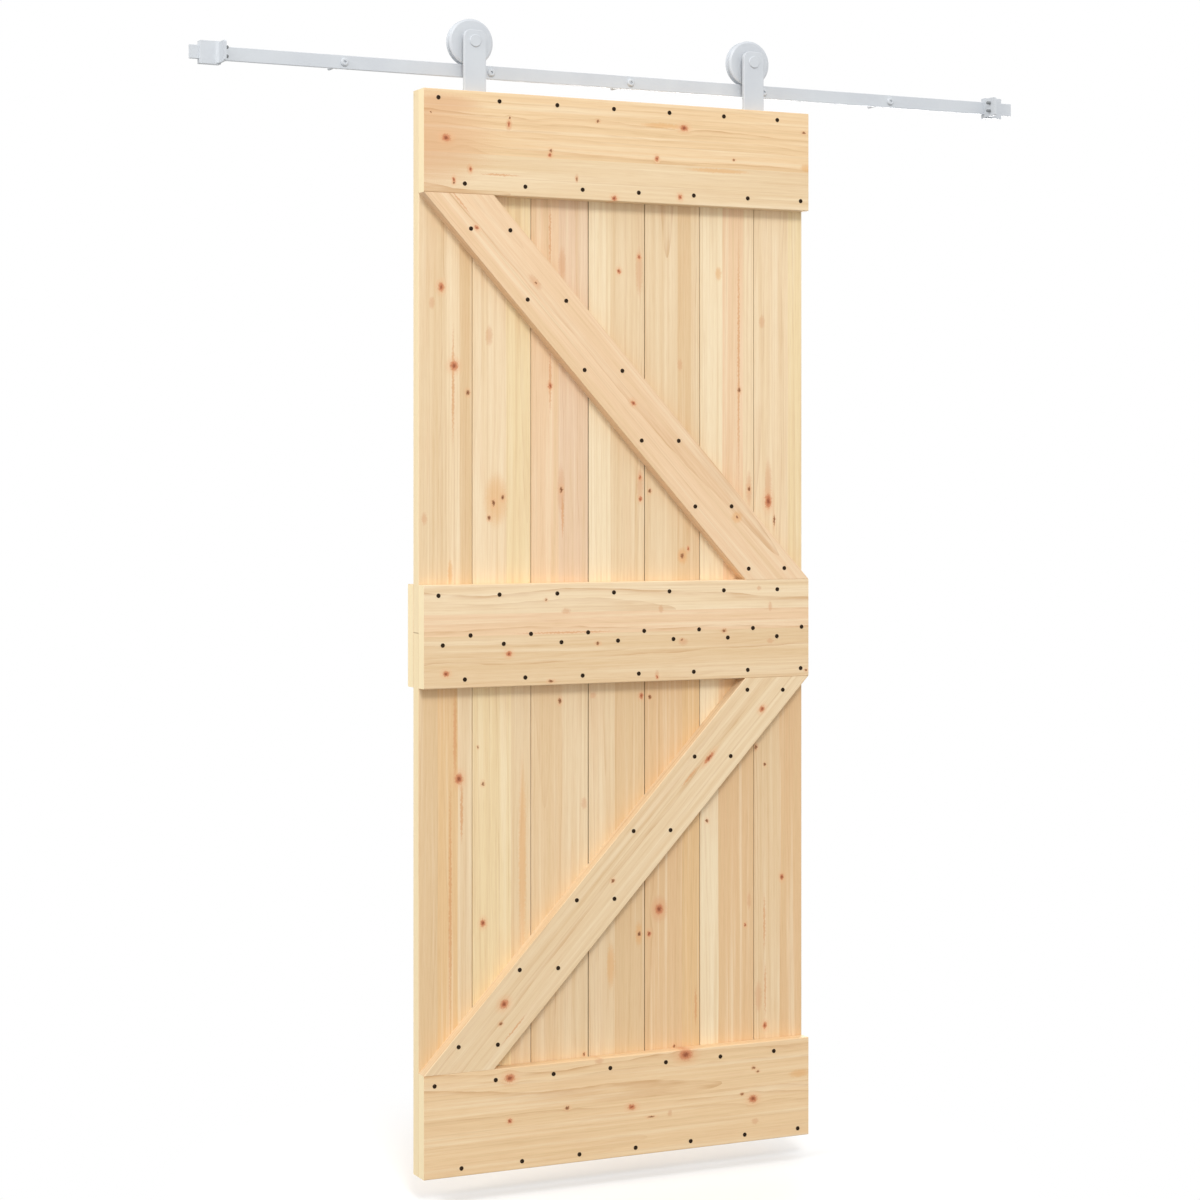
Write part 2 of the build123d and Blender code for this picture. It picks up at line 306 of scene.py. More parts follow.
# %% Tones of pine
TONES = {
    "cream": paint(246, 226, 190),
    "pale": paint(243, 219, 182),
    "yellow": paint(242, 219, 174),
    "beige": paint(236, 210, 171),
    "peach": paint(241, 208, 170),
    "pink": paint(236, 205, 173),
    "straw": paint(240, 208, 164),
    "sand": paint(234, 205, 164),
    "tan": paint(230, 199, 156),
    "wheat": paint(231, 195, 150),
    "amber": paint(233, 196, 146),
}
LATEWOOD = paint(200, 150, 98)
RESIN = paint(214, 146, 92)
FIBRE = paint(238, 226, 208)
BLUSH = paint(218, 166, 124)
HONEY = paint(226, 166, 98)
# Paler tone of the faces that look sideways: partly the paler end grain, partly painted light from the left.
END_GRAIN_AND_SIDE_LIGHT = paint(255, 236, 192)
# Painted shade: a slight grey laid on the braces' side faces.
PAINTED_BRACE_EDGE_SHADE = paint(246, 244, 244)
SEAM_DUST = paint(96, 76, 48)
KNOT_HALO = paint(234, 180, 134)
KNOT_TONES = {
    "red": (paint(206, 130, 88), paint(142, 74, 46)),
    "dark": (paint(164, 110, 70), paint(104, 64, 36)),
}
print("tones of pine:", ", ".join(TONES))

# %% [markdown]
# ### Knots, blushes and resin streaks
#
# A knot is the foot of a branch: a dark core, a red-brown body and a warm halo. Blushes and honey
# patches are softer stains near a hidden branch, and a resin streak is a very long, thin patch. They
# are listed for each board, in millimetres from the door's lower left corner, each with a
# radius and a stretch along the grain.

# %% Where the knots are
MARKS = {
    "top_rail": [
        ("blush", -40, 2000, 110, 1.8),
        ("blush", 40, 2072, 22, 4.0),
        ("red", 46, 2006, 8, 1.3),
        ("eye", 84, 1968, 17, 1.2),
        ("dark", 14, 2054, 2, 1.0),
        ("blush", 178, 2038, 13, 0.6),
        ("red", 178, 2040, 6, 0.5),
        ("dark", 180, 2052, 2.5, 0.8),
        ("dark", 268, 1993, 4, 0.8),
        ("red", 266, 1984, 4.5, 1.0),
        ("blush", 94, 1950, 12, 0.7),
        ("red", 97, 1948, 6, 0.6),
        ("red", 62, 1926, 6, 0.6),
        ("dark", 62, 1920, 2.5, 1.0),
        ("blush", 324, 1942, 9, 0.6),
        ("dark", 324, 1940, 4, 0.6),
        ("dark", 370, 2057, 3, 1.2),
        ("red", 406, 1906, 6, 1.1),
        ("red", 562, 2054, 7, 1.4),
        ("honey", 515, 2056, 6, 9.0),
        ("red", 501, 1989, 6, 0.8),
        ("red", 553, 1915, 6, 0.9),
        ("dark", 839, 2060, 3, 1.5),
        ("dark", 676, 1996, 2.5, 1.2),
        ("honey", 844, 1988, 9, 1.6),
        ("honey", 640, 1972, 5, 16.0),
        ("resin", 160, 1940, 2, 24.0),
    ],
    "middle_rail": [
        ("dark", 257, 1111, 2.5, 1.2),
        ("blush", 301, 1088, 7, 1.6),
        ("red", 178, 1007, 6, 1.2),
        ("red", 46, 972, 6, 1.2),
        ("dark", 370, 1023, 3.5, 1.4),
        ("dark", 268, 951, 3, 2.0),
        ("blush", 510, 1088, 9, 0.7),
        ("blush", 734, 1126, 6, 0.9),
        ("blush", 760, 1089, 11, 0.5),
        ("dark", 653, 1041, 3.5, 1.4),
        ("blush", 560, 1021, 9, 1.4),
        ("dark", 557, 1025, 2.5, 1.2),
        ("blush", 760, 1018, 6, 1.6),
        ("blush", 501, 956, 11, 0.5),
        ("red", 501, 952, 4, 0.7),
        ("dark", 844, 956, 3, 1.2),
        ("resin", 300, 1046, 2, 60.0),
    ],
    "bottom_rail": [
        ("red", 180, 180, 9, 1.3),
        ("red", 180, 96, 5, 1.1),
        ("dark", 303, 109, 4, 1.3),
        ("blush", 373, 195, 7, 1.6),
        ("red", 566, 190, 12, 1.4),
        ("dark", 722, 149, 3.5, 1.3),
        ("dark", 731, 141, 3, 1.3),
        ("dark", 695, 98, 3, 1.3),
        ("red", 720, 86, 9, 1.2),
        ("red", 445, 97, 6, 1.6),
        ("blush", 530, 76, 8, 0.7),
        ("dark", 488, 73, 2, 4.0),
        ("blush", 725, 40, 7, 1.4),
        ("honey", 828, 128, 9, 3.0),
    ],
    "upper_brace": [
        ("red", 110, 1835, 4, 1.4),
        ("blush", 234, 1734, 9, 2.4),
        ("dark", 236, 1732, 2.5, 1.4),
        ("red", 448, 1500, 5, 1.3),
        ("honey", 683, 1271, 14, 1.0),
        ("dark", 683, 1271, 3, 1.2),
        ("resin", 75, 1885, 2, 18.0),
    ],
    "lower_brace": [
        ("red", 741, 879, 6, 1.3),
        ("red", 619, 785, 5, 3.4),
        ("resin", 576, 750, 3, 10.0),
        ("dark", 403, 550, 3.5, 1.3),
        ("dark", 353, 583, 2.5, 1.2),
        ("red", 168, 325, 9, 1.2),
        ("dark", 161, 287, 3.5, 1.2),
        ("resin", 190, 275, 2, 20.0),
    ],
    "upper_board_1": [
        ("red", 47, 1720, 7, 1.4),
        ("blush", 28, 1689, 7, 2.0),
        ("red", 74, 1568, 9.5, 1.1),
        ("resin", 72, 1530, 3, 40.0),
        ("dark", 103, 1516, 4.5, 1.2),
        ("honey", 66, 1165, 6, 5.0),
        ("blush", 12, 1271, 7, 2.0),
    ],
    "upper_board_2": [
        ("honey", 163, 1307, 28, 2.0),
        ("dark", 177, 1312, 4, 1.5),
        ("dark", 157, 1301, 4, 1.6),
        ("dark", 148, 1272, 4, 1.3),
        ("blush", 148, 1628, 9, 2.4),
    ],
    "upper_board_3": [
        ("red", 279, 1532, 5, 1.3),
        ("resin", 279, 1545, 3, 24.0),
        ("blush", 303, 1327, 9, 6.0),
        ("dark", 303, 1327, 4, 1.6),
        ("resin", 279, 1830, 2.5, 26.0),
        ("resin", 306, 1275, 3, 16.0),
        ("blush", 305, 1775, 9, 4.0),
    ],
    "upper_board_4": [
        ("red", 430, 1764, 4.5, 1.3),
        ("blush", 475, 1765, 9, 6.0),
        ("red", 475, 1794, 4, 1.4),
        ("blush", 477, 1338, 9, 4.0),
        ("red", 477, 1352, 3, 1.8),
        ("red", 478, 1308, 4, 1.5),
    ],
    "upper_board_5": [
        ("dark", 499, 1324, 3.5, 1.3),
        ("honey", 573, 1193, 13, 1.5),
        ("dark", 572, 1193, 4.5, 1.4),
        ("red", 586, 1207, 3, 1.6),
        ("blush", 567, 1579, 7, 2.0),
    ],
    "upper_board_6": [
        ("dark", 703, 1530, 4, 1.4),
        ("resin", 702, 1600, 2.5, 110.0),
        ("blush", 726, 1328, 8, 5.0),
        ("dark", 726, 1328, 3.5, 1.6),
        ("honey", 655, 1766, 8, 2.0),
    ],
    "upper_board_7": [
        ("blush", 756, 1671, 8, 2.0),
        ("red", 771, 1303, 8.5, 1.9),
        ("blush", 771, 1340, 9, 6.0),
        ("dark", 785, 1264, 2, 6.0),
    ],
    "lower_board_1": [
        ("red", 84, 765, 9.5, 1.2),
        ("resin", 66, 520, 3, 90.0),
        ("resin", 76, 850, 4, 24.0),
        ("resin", 90, 700, 3, 22.0),
    ],
    "lower_board_2": [
        ("dark", 124, 825, 2, 1.4),
        ("dark", 135, 753, 3.5, 1.3),
        ("red", 135, 481, 6, 1.4),
        ("honey", 219, 600, 9, 24.0),
    ],
    "lower_board_3": [
        ("dark", 300, 909, 4, 1.5),
        ("blush", 353, 704, 7, 2.0),
        ("dark", 353, 205, 3, 1.3),
    ],
    "lower_board_4": [
        ("blush", 373, 918, 7, 1.2),
        ("red", 480, 913, 5, 1.4),
        ("honey", 412, 376, 10, 5.0),
        ("honey", 474, 435, 9, 3.0),
        ("dark", 475, 435, 4, 1.4),
    ],
    "lower_board_5": [
        ("dark", 499, 910, 3.5, 1.3),
        ("blush", 520, 482, 20, 1.5),
        ("red", 520, 482, 10, 1.2),
        ("red", 497, 434, 5, 1.3),
        ("dark", 554, 203, 3, 1.4),
        ("resin", 603, 280, 3, 14.0),
    ],
    "lower_board_6": [
        ("dark", 629, 654, 3, 1.3),
        ("blush", 726, 485, 5, 4.0),
        ("red", 717, 436, 3, 1.3),
    ],
    "lower_board_7": [
        ("dark", 742, 799, 4, 1.3),
        ("dark", 763, 763, 3, 1.3),
        ("red", 803, 529, 5, 1.4),
        ("resin", 762, 440, 2.5, 26.0),
        ("blush", 748, 287, 9, 4.0),
        ("red", 763, 227, 5, 1.5),
        ("resin", 764, 300, 2.5, 24.0),
    ],
    "back_rail": [
        ("red", 120, 1060, 8, 1.3),
        ("dark", 330, 1100, 4, 1.3),
        ("red", 545, 1000, 7, 1.3),
        ("blush", 700, 1080, 9, 2.0),
    ],
}
print("marks in the wood:", sum(len(marks) for marks in MARKS.values()))

# %% [markdown]
# ### Staves
#
# A wide board is glued up from staves, which differ in tone because they come from different trees.
# Each stave could have a finish of its own, but a board is one solid, so a ramp with hard steps
# gives each stave its tone, and a second one its pith and its seed. The staves of a board are listed
# from its left edge to its right edge, and those of a rail from its lower edge upwards, each as a
# width in millimetres and a tone.

# %% Which staves each board has
STAVES = {
    "top_rail": [(78, "beige"), (122, "straw")],
    "middle_rail": [(100, "sand"), (42, "peach"), (58, "pale")],
    "bottom_rail": [(112, "straw"), (88, "straw")],
    "back_rail": [(90, "beige"), (110, "peach")],
    "upper_brace": [(108, "peach")],
    "lower_brace": [(108, "beige")],
    "upper_board_1": [(59, "beige"), (27, "pale"), (27, "tan")],
    "upper_board_2": [(72, "pale"), (53, "yellow")],
    "upper_board_3": [(60, "peach"), (65, "pink")],
    "upper_board_4": [(48, "cream"), (77, "beige")],
    "upper_board_5": [(74, "beige"), (30, "tan"), (21, "beige")],
    "upper_board_6": [(52, "cream"), (48, "peach"), (25, "pale")],
    "upper_board_7": [(80, "pale"), (33, "yellow")],
    "lower_board_1": [(40, "tan"), (42, "amber"), (31, "beige")],
    "lower_board_2": [(82, "yellow"), (43, "beige")],
    "lower_board_3": [(70, "sand"), (55, "beige")],
    "lower_board_4": [(58, "beige"), (67, "tan")],
    "lower_board_5": [(84, "wheat"), (41, "amber")],
    "lower_board_6": [(42, "cream"), (83, "wheat")],
    "lower_board_7": [(60, "sand"), (53, "wheat")],
}


def stave_ramps(start, across, staves, draw):
    """The tone of the stave at a point, and three numbers of its own: pith across, pith depth, seed."""
    width = sum(stave[0] for stave in staves)
    tones = []
    numbers = []
    edge = 0.0
    for stave_width, tone in staves:
        tones.append((edge / width, TONES[tone]))
        numbers.append((edge / width, (draw.random(), draw.random(), draw.random(), 1.0)))
        edge += stave_width
    share = across / width + 0.5
    tone = start.node("ValToRGB", {"stops": tones, "steps": "CONSTANT"}, {"Fac": share})
    own = start.node("ValToRGB", {"stops": numbers, "steps": "CONSTANT"}, {"Fac": share})
    parts = [start.node("SeparateColor", None, {"Color": own}, output=i) for i in range(3)]
    return tone, parts


print("staves:", sum(len(staves) for staves in STAVES.values()))

# %% [markdown]
# ### Knots as distances
#
# For each mark, a Mapping node measures how far a point is from it, in radii, with the stretch along
# the grain taken out. Knots of one kind are drawn together from the nearest one. Red and dark knots
# also push the grain apart, by less and less further away. An eye is a branch that lies just below
# the surface: it has no colour and only pushes the grain.

# %% Measure the marks
PUSH = 0.75
PUSH_REACH = 1.7


def mark_fields(start, grain, marks, place_in_board):
    """For each kind of mark the squared distance in radii to the nearest one, and the sideways push."""
    nearest = {}
    push = None
    for kind, x, z, radius, stretch in marks:
        along, across = place_in_board(x, z)
        offset = start.node(
            "Mapping",
            {"vector_type": "TEXTURE"},
            {"Vector": grain, "Location": (along, 0.0, across), "Scale": (radius * stretch, 1000.0, radius)},
        )
        far = start.node("VectorMath", {"operation": "DOT_PRODUCT"}, {0: offset, 1: offset}, output="Value")
        nearest[kind] = start.math("MINIMUM", nearest[kind], far) if kind in nearest else far
        if kind in ("red", "dark", "eye"):
            sideways = start.node("SeparateXYZ", None, {0: offset}, output=2)
            part = sideways * (radius * PUSH) / (1.0 + far * far / PUSH_REACH**4)
            push = push + part if push else part
    return nearest, push


print("marks push the grain", PUSH, "of the way")

# %% [markdown]
# ### Rings
#
# The rings wander slowly along the board. Each ring goes from pale earlywood to a darker latewood
# line. Most lines are faint, a few are strong, and each one fades in and out. Rails and braces are
# sawn flat, so their lines lie further apart and swing more. A wave texture draws such lines too,
# but it has no pith, so they would never close into the arches of flat-sawn wood.

# %% Draw the rings
# For each kind of board: how far apart the rings are and how far they swing, in mm, and their contrast.
GRAIN = {"board": (5.0, 20.0, 0.5), "rail": (9.0, 56.0, 1.0), "brace": (10.0, 44.0, 0.75)}
PITH_SPREAD = 260.0
PITH_NEAREST = 25.0
PITH_RANGE = 110.0
TRUNK_TAPER = 0.012
RING_SEEDS = 50.0
SLOW_WANDER = (420.0, 160.0)
QUICK_WANDER = (110.0, 26.0)
QUICK_SHARE = 0.25
LINE_FADE = (110.0, 14.0)
FADE_SEED = 7.0
LATEWOOD_SHARPNESS = 3.0
FAINTEST_LINE = 0.08
FADED_LINE = 0.25


def stretched_noise(start, grain, along, across, seed, detail=2.0):
    """Noise in long streaks: its size along and across the grain is in millimetres."""
    scaled = start.node(
        "VectorMath", {"operation": "MULTIPLY"}, {0: grain, 1: (1 / along, 1 / across, 1 / across)}
    )
    return start.node(
        "TexNoise",
        {"noise_dimensions": "4D"},
        {"Vector": scaled, "W": seed, "Scale": 1.0, "Detail": detail, "Roughness": 0.55},
        output="Fac",
    )


def ring_lines(start, grain, own, push, pitch, swing):
    """How dark the latewood is, 0 to 1."""
    along, depth, across = [start.node("SeparateXYZ", None, {0: grain}, output=i) for i in range(3)]
    if push:
        across = across - push
    seed = own[2] * RING_SEEDS
    slow = stretched_noise(start, grain, *SLOW_WANDER, seed, detail=1.0)
    quick = stretched_noise(start, grain, *QUICK_WANDER, seed)
    wander = (slow - 0.5) * swing + (quick - 0.5) * (swing * QUICK_SHARE)
    side = across + wander - (own[0] - 0.5) * PITH_SPREAD
    back = depth + own[1] * PITH_RANGE + PITH_NEAREST
    away = start.math("SQRT", side * side + back * back)
    ring = (away + along * TRUNK_TAPER) / pitch + seed
    number = start.math("FLOOR", ring)
    strength = start.node("TexWhiteNoise", {"noise_dimensions": "1D"}, {"W": number}, output="Value")
    fade = stretched_noise(start, grain, *LINE_FADE, seed + FADE_SEED).smooth(0.35, 0.65)
    line = start.math("FRACT", ring) ** LATEWOOD_SHARPNESS
    strong = FAINTEST_LINE + (1.0 - FAINTEST_LINE) * strength**2.0
    lasting = FADED_LINE + (1.0 - FADED_LINE) * fade
    return line * strong * lasting


print("rings on a board", GRAIN["board"][0], "mm apart, on a rail", GRAIN["rail"][0])

# %% [markdown]
# ### Joints, stains and knots
#
# Dust gathers in the joints between the boards, in some more than in others, so each joint has its
# own shade. Stains and knots could be single spots of colour, but a real knot fades out in steps, so
# they are laid over the plain wood in layers, from the wide halo to the dark core. Noise makes their
# edges ragged, because a smooth ring looks printed.

# %% Shade the joints and colour the knots
SEAM_SHADES = (0.15, 0.2, 0.6, 0.5, 0.25, 0.25)
SEAM_WIDTH = 1.0
SEAM_SOFTNESS = 0.5
KNOT_EDGE_SCALE = 0.45
RAGGED_LEAST = 0.45
RAGGED_MORE = 1.1
STAIN_REACH = 1.2
STAINS = {"blush": (BLUSH, 0.55), "honey": (HONEY, 0.5), "resin": (RESIN, 0.6)}
# Halo, body and core of a knot: the radii at which each begins and is full, and its share.
KNOT_LAYERS = ((2.4, 0.7, 0.45), (1.15, 0.55, 0.9), (0.6, 0.15, 0.85))


def seam_shade(start, across, name, width):
    """How dusty the joint is at a point: each board has a shade for its left and its right joint."""
    shades = (0.0, *SEAM_SHADES, 0.0)
    number = int(name[-1])
    clean = SEAM_WIDTH * (1.0 + SEAM_SOFTNESS)
    dusty = SEAM_WIDTH * (1.0 - SEAM_SOFTNESS)
    left = (across + width / 2).smooth(clean, dusty) * shades[number - 1]
    right = (width / 2 - across).smooth(clean, dusty) * shades[number]
    return start.math("MAXIMUM", left, right)


def knot_colours(start, grain, colour, nearest):
    """Stains and knots over the plain wood, with ragged edges."""
    rough = start.node(
        "TexNoise",
        {"noise_dimensions": "3D"},
        {"Vector": grain, "Scale": KNOT_EDGE_SCALE, "Detail": 3.0},
        output="Fac",
    )
    ragged = RAGGED_LEAST + RAGGED_MORE * rough
    for kind, (stain, share) in STAINS.items():
        if kind in nearest:
            colour = colour.blend((nearest[kind] * ragged).smooth(STAIN_REACH, 0.0) * share, stain)
    for kind, tones in KNOT_TONES.items():
        if kind in nearest:
            far = start.math("SQRT", nearest[kind]) * ragged
            for (begin, full, share), tone in zip(KNOT_LAYERS, (KNOT_HALO, *tones)):
                colour = colour.blend(far.smooth(begin, full) * share, tone)
    return colour


# %% [markdown]
# ### The finished board
#
# One picture of wood could be wrapped round every board, but then they would all be alike. So each
# board gets its own mixture: the tones of its staves, faint streaks and patches, the rings, the fine
# fibres that run along everything, and its knots. The faces that look sideways, at the rails' ends
# and the outer boards' edges, are painted paler: partly the paler end grain, partly painted light from
# the left. The braces' side faces are a touch greyer, which is painted shade. The planed surface is
# left matt, with the latewood a little harder and smoother.

# %% Build the pine finish
STAVE_EDGE_NOISE = (300.0, 300.0)
STAVE_EDGE_SWING = 5.0
MARK_NOISE_SCALE = 0.2
MARK_SWING = 7.0
BOARD_SEEDS = 90.0
# The size of each kind of streak, along and across the grain, in millimetres.
STREAK_SIZES = {"wide": (600.0, 9.0), "patch": (260.0, 45.0), "thin": (900.0, 3.4), "fibre": (40.0, 0.7)}
# The kind of streak, where it begins and is full, its share and its tone.
STREAKS = (
    ("wide", 0.48, 0.72, 0.5, paint(226, 194, 148)),
    ("wide", 0.52, 0.28, 0.45, paint(250, 232, 200)),
    ("patch", 0.5, 0.8, 0.3, paint(230, 190, 148)),
    ("thin", 0.54, 0.74, 0.42, paint(218, 184, 140)),
)
FIBRE_SHARE = 0.5
# Shares of the paler sideways tone, for the rails' ends and the outer boards' edges: partly end grain, partly
# painted light.
RAIL_END_AND_SIDE_LIGHT = 0.9
PAINTED_SIDE_LIGHT = {"upper_board_1": 0.6, "lower_board_1": 0.75, "upper_board_7": 0.4, "lower_board_7": 0.4}
PINE_ROUGHNESS = 0.58
PINE_GLOSS = 0.3
PINE_RELIEF = 0.3 * MM


def facing(start, axis):
    """How squarely a face looks along an axis, either way, from 0 to 1."""
    normal = start.node("TexCoord", output="Normal")
    return start.math("ABSOLUTE", start.node("SeparateXYZ", None, {0: normal}, output=axis))


def pine(name, centre, turn, seed):
    """The finish of one board, whose grain runs at an angle in the plane of the door."""
    draw = random.Random(seed)
    finish, start, shader = new_finish("pine_" + name)
    place = start.node("TexCoord", output="Object")
    grain = start.node(
        "Mapping",
        {"vector_type": "TEXTURE"},
        {"Vector": place, "Location": centre, "Rotation": (0.0, -turn, 0.0), "Scale": (MM, MM, MM)},
    )

    def place_in_board(x, z):
        """A point given from the door's corner, along and across the grain from the board's middle."""
        dx = door_corner.x / MM + x - centre.x / MM
        dz = door_corner.z / MM + z - centre.z / MM
        return dx * math.cos(turn) + dz * math.sin(turn), dz * math.cos(turn) - dx * math.sin(turn)

    across = start.node("SeparateXYZ", None, {0: grain}, output=2)
    edge_noise = stretched_noise(start, grain, *STAVE_EDGE_NOISE, float(seed))
    tone, own = stave_ramps(start, across + (edge_noise - 0.5) * STAVE_EDGE_SWING, STAVES[name], draw)
    ragged = start.node(
        "TexNoise",
        {"noise_dimensions": "3D"},
        {"Vector": grain, "Scale": MARK_NOISE_SCALE, "Detail": 4.0},
        output="Color",
    )
    shift = start.node(
        "VectorMath",
        {"operation": "MULTIPLY_ADD"},
        {0: ragged, 1: (MARK_SWING,) * 3, 2: (-MARK_SWING / 2,) * 3},
    )
    uneven = start.node("VectorMath", {"operation": "ADD"}, {0: grain, 1: shift})
    nearest, push = mark_fields(start, uneven, MARKS.get(name, []), place_in_board)
    kind = next(kind for kind in GRAIN if kind in name)
    pitch, swing, contrast = GRAIN[kind]
    line = ring_lines(start, grain, own, push, pitch, swing)
    seed_here = own[2] * BOARD_SEEDS + float(seed)
    noise = {}
    for streak, size in STREAK_SIZES.items():
        noise[streak] = stretched_noise(start, grain, *size, seed_here)
    fibre = noise["fibre"]

    colour = tone
    for streak, begin, full, share, stain in STREAKS:
        colour = colour.blend(noise[streak].smooth(begin, full) * share, stain)
    colour = colour.blend(line * contrast, LATEWOOD)
    colour = colour.blend(fibre.smooth(0.4, 0.8) * FIBRE_SHARE, FIBRE, "MULTIPLY")
    colour = knot_colours(start, grain, colour, nearest)
    if kind == "brace":
        # Painted shade: a brace's side faces are greyed, to darken the shaded under-edge and the light that
        # the lit edge throws onto the boards.
        colour = colour.blend(facing(start, "Y").smooth(0.7, 0.3), PAINTED_BRACE_EDGE_SHADE, "MULTIPLY")
    elif name in PAINTED_SIDE_LIGHT or kind == "rail":
        # Painted light: faces that look along X are paled, partly for end grain and partly to stand for light
        # from the left.
        share = facing(start, "X").smooth(0.6, 0.95) * PAINTED_SIDE_LIGHT.get(name, RAIL_END_AND_SIDE_LIGHT)
        colour = colour.blend(share, END_GRAIN_AND_SIDE_LIGHT)
    if kind == "board":
        width = sum(stave[0] for stave in STAVES[name])
        colour = colour.blend(seam_shade(start, across, name, width), SEAM_DUST)
    feed(shader, "Base Color", colour)
    feed(shader, "Roughness", PINE_ROUGHNESS - line * 0.1 + fibre * 0.06)
    shader.inputs["Specular IOR Level"].default_value = PINE_GLOSS
    relief = start.node(
        "Bump", None, {"Strength": 0.25, "Distance": PINE_RELIEF, "Height": line * 0.6 - fibre * 0.5}
    )
    feed(shader, "Normal", relief)
    return finish


print("a board has", len(STREAKS), "kinds of streak and roughness", PINE_ROUGHNESS)

# %% [markdown]
# ### A finish for each board
#
# A rail's grain runs level, a board's runs down it, and a brace's runs along its slope. The slope
# could be typed in, but it is read from the brace's own solid, so that the grain stays true if the
# solid changes: the box's width less its foot, and its height.

# %% Put the pine on the boards
BRACE_FOOT = 0.147
TONGUE = 0.007


def middle_of(node):
    """The middle of a board's front. The tongue, hidden in the next board's groove, doesn't count."""
    low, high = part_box(node)
    right = high.x - TONGUE if "board" in node and not node.endswith("7") else high.x
    return Vector(((low.x + right) / 2, low.y, (low.z + high.z) / 2))


def grain_turn(node):
    if "board" in node:
        return math.radians(-90)
    if "brace" not in node:
        return 0.0
    low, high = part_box(node)
    slope = math.atan2(high.z - low.z, high.x - low.x - BRACE_FOOT)
    return slope if node == "lower_brace" else -slope


def dress(node, finish):
    """Gives a solid its finish. Its mesh stays as it is."""
    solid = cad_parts[node]
    solid.data.materials.clear()
    solid.data.materials.append(finish)


for number, node in enumerate(STAVES):
    dress(node, pine(node, middle_of(node), grain_turn(node), number + 1))
print("boards dressed:", len(STAVES))

# %% [markdown]
# ## White powder coat
#
# The steel is coated with white powder, baked into a skin that is smooth but never quite flat. A
# plain white would look like plastic, so fine noise as a bump gives that skin, and slow noise varies
# its tone and its sheen a little.

# %% Coat the steel
COAT_WHITE = paint(208, 212, 216)
COAT_SHADE = paint(202, 206, 211)
COAT_ROUGHNESS = 0.36
CLOUD_SCALE = 14.0
SKIN_SCALE = 900.0
SKIN_RELIEF = 0.1 * MM


def powder_coat():
    finish, start, shader = new_finish("white_powder_coat")
    place = start.node("TexCoord", output="Object")
    cloud = start.node("TexNoise", None, {"Vector": place, "Scale": CLOUD_SCALE, "Detail": 3.0}, output="Fac")
    skin = start.node("TexNoise", None, {"Vector": place, "Scale": SKIN_SCALE, "Detail": 2.0}, output="Fac")
    white = start.node("ValToRGB", {"stops": [(0.3, COAT_SHADE), (0.7, COAT_WHITE)]}, {"Fac": cloud})
    feed(shader, "Base Color", white)
    feed(shader, "Roughness", COAT_ROUGHNESS + cloud * 0.12)
    relief = start.node("Bump", None, {"Strength": 0.12, "Distance": SKIN_RELIEF, "Height": skin})
    feed(shader, "Normal", relief)
    return finish


RUBBER_NODES = ("left_stop_bumpers", "right_stop_bumpers")
coat = powder_coat()
steel_nodes = [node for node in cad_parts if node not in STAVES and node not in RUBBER_NODES]
for node in steel_nodes:
    dress(node, coat)
print("coated:", len(steel_nodes))

# %% [markdown]
# ## Rubber bumpers
#
# The bumpers are grey rubber, matt, with a faint dusty bloom. They are small and seldom seen from
# close by, so one noise does for the bloom, the roughness and the grain.

# %% Dress the bumpers
RUBBER_GREY = paint(118, 121, 123)
RUBBER_BLOOM = paint(140, 143, 145)
RUBBER_ROUGHNESS = 0.7
BLOOM_SCALE = 260.0
BLOOM_RELIEF = 0.1 * MM


def rubber():
    finish, start, shader = new_finish("bumper_rubber")
    place = start.node("TexCoord", output="Object")
    bloom = start.node("TexNoise", None, {"Vector": place, "Scale": BLOOM_SCALE, "Detail": 4.0}, output="Fac")
    stops = [(0.35, RUBBER_GREY), (0.75, RUBBER_BLOOM)]
    feed(shader, "Base Color", start.node("ValToRGB", {"stops": stops}, {"Fac": bloom}))
    feed(shader, "Roughness", RUBBER_ROUGHNESS + bloom * 0.2)
    relief = start.node("Bump", None, {"Strength": 0.2, "Distance": BLOOM_RELIEF, "Height": bloom})
    feed(shader, "Normal", relief)
    return finish


bumper_finish = rubber()
for node in RUBBER_NODES:
    dress(node, bumper_finish)
print("bumpers:", len(RUBBER_NODES))

# %% [markdown]
# ## Screws
#
# Dark wood screws hold the rails and braces to the boards. From afar a black dot would do, but the
# recess for the driver shows from close by. One head is modelled from a short cylinder: its front
# edge is rounded, its face inset, the inset ring pulled into a cross, and the cross pushed in. It is
# then copied to every place, each copy turned a little differently, as screws are.

# %% Model one screw head
SCREW_SIDES = 16
SCREW_RADIUS = 4.3 * MM
SCREW_PROUD = 0.6 * MM
SCREW_SUNK = 0.4 * MM
SCREW_EDGE = 0.25 * MM
CROSS_INSET = 1.7 * MM
CROSS_WAIST = 0.36
CROSS_DEPTH = 0.45 * MM
CROSS_TAPER = 0.7
BETWEEN_ARMS = (20, 70)


def select_faces(mesh, wanted):
    """In edit mode, selects only the faces for which wanted(face) is true, and returns how many."""
    edit = bmesh.from_edit_mesh(mesh)
    chosen = [face for face in edit.faces if wanted(face)]
    for part in (edit.verts, edit.edges, edit.faces):
        for item in part:
            item.select_set(False)
    for face in chosen:
        face.select_set(True)
    bmesh.update_edit_mesh(mesh)
    return len(chosen)


def faces_room(face):
    return face.normal.y < -0.99


